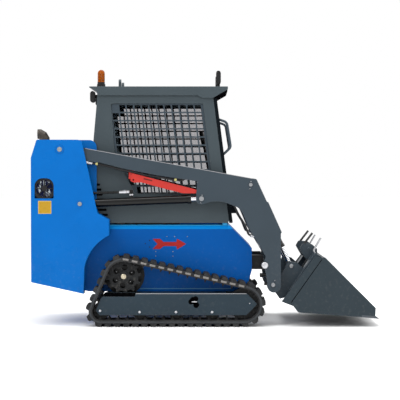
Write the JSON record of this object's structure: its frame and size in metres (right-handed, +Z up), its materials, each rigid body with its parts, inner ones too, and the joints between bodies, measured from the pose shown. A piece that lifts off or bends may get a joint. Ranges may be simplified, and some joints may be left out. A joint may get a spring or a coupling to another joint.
{
  "type": "mini loader",
  "caption": "Compact tracked loader with rear-pivoting lift arms, tilting bucket on a quick coupler, and an open-front cab with punched side screens.",
  "frame": {"origin": "middle of the machine's box, on the ground under the tracks, arms down", "axes": "+X forward to the bucket, +Y to the machine's left, +Z up"},
  "size_m": [2.758, 1.204, 2.0482],
  "materials": {
    "blue_paint": "gloss",
    "grey_paint": "satin",
    "red_paint": "satin",
    "bucket_paint": "worn satin",
    "black_steel": "satin",
    "track_rubber": "matte",
    "soft_rubber": "matte",
    "rod_chrome": "polished",
    "pin_steel": "brushed",
    "engine_iron": "rough",
    "exhaust_steel": "heat stained",
    "radiator_aluminium": "finned",
    "window_glass": "clear",
    "seat_cover": "grained vinyl",
    "black_plastic": "matte",
    "amber_lens": "clear amber",
    "edge_steel": "worn"
  },
  "bodies": {
    "chassis": {"beacon_base": "black_plastic", "beacon_lens": "amber_lens", "cab_rear": "grey_paint", "cab_side_l": "grey_paint", "cab_side_r": "grey_paint", "control_levers": "black_steel", "drive_motors": "grey_paint", "engine": "engine_iron", "exhaust": "exhaust_steel", "front_blocks": "black_steel", "front_frame": "black_steel", "grab_handles": "black_steel", "idlers_and_rollers": "black_steel", "main_frame": "blue_paint", "radiator": "radiator_aluminium", "rear_panel": "blue_paint", "rear_window": "window_glass", "roof": "grey_paint", "screen_l": "grey_paint", "screen_r": "grey_paint", "seat_back": "seat_cover", "seat_base": "black_steel", "seat_cushion": "seat_cover", "sprockets": "edge_steel", "tower_l": "blue_paint", "tower_pins": "pin_steel", "tower_r": "blue_paint", "track_frame_l": "grey_paint", "track_frame_r": "grey_paint", "track_l": "track_rubber", "track_r": "track_rubber", "vent_guards": "black_plastic", "work_lamps": "black_plastic"},
    "lift_arms": {"arm_r": "grey_paint", "arm_l": "grey_paint", "arm_pins": "pin_steel", "arm_braces": "red_paint", "arm_fittings": "pin_steel", "arm_hoses": "soft_rubber", "cross_tube": "grey_paint"},
    "lift_cylinders": {"lift_barrels": "black_steel"},
    "lift_pistons": {"lift_rods": "rod_chrome"},
    "tilt_cylinders": {"tilt_barrels": "black_steel"},
    "tilt_pistons": {"tilt_rods": "rod_chrome"},
    "bucket_carrier": {"coupler_frame": "grey_paint", "coupler_levers": "pin_steel", "bucket": "bucket_paint", "cutting_edge": "edge_steel"},
    "engine_door": {"rear_door": "blue_paint"},
    "engine_hood": {"hood": "blue_paint"}
  },
  "joints": [
    {"name": "lift", "type": "hinge", "parent": "chassis", "child": "lift_arms", "pos_m": [-1.15, 0, 1.401], "axis": [0, -1, 0], "range_deg": [0, 70]},
    {"name": "lift_cylinder_swing", "type": "hinge", "parent": "chassis", "child": "lift_cylinders", "pos_m": [-0.99, 0, 0.968], "axis": [0, -1, 0], "range_deg": [0, 64]},
    {"name": "lift_rod_slide", "type": "slide", "parent": "lift_cylinders", "child": "lift_pistons", "axis": [0.9991, 0, 0.0424], "range_m": [0, 0.5145]},
    {"name": "bucket_tilt", "type": "hinge", "parent": "lift_arms", "child": "bucket_carrier", "pos_m": [0.546, 0, 0.323], "axis": [0, 1, 0], "range_deg": [-28, 40]},
    {"name": "tilt_cylinder_swing", "type": "hinge", "parent": "lift_arms", "child": "tilt_cylinders", "pos_m": [0.368, 0, 1.12], "axis": [0, -1, 0], "range_deg": [-1.45, 2.05]},
    {"name": "tilt_rod_slide", "type": "slide", "parent": "tilt_cylinders", "child": "tilt_pistons", "axis": [0.4494, 0, -0.8933], "range_m": [-0.0955, 0.1365]},
    {"name": "rear_door_hinge", "type": "hinge", "parent": "chassis", "child": "engine_door", "pos_m": [-1.372, 0.374, 0.85], "axis": [0, 0, -1], "range_deg": [0, 100]},
    {"name": "hood_hinge", "type": "hinge", "parent": "chassis", "child": "engine_hood", "pos_m": [-0.91, 0, 1.436], "axis": [0, 1, 0], "range_deg": [0, 65]}
  ],
  "couplings": [
    {"joint": "lift_cylinder_swing", "follows": "lift", "ratio": 0.9136},
    {"joint": "lift_rod_slide", "follows": "lift", "m_per_rad": 0.42096},
    {"joint": "tilt_cylinder_swing", "follows": "bucket_tilt", "ratio": 0.05},
    {"joint": "tilt_rod_slide", "follows": "bucket_tilt", "m_per_rad": 0.1948}
  ]
}
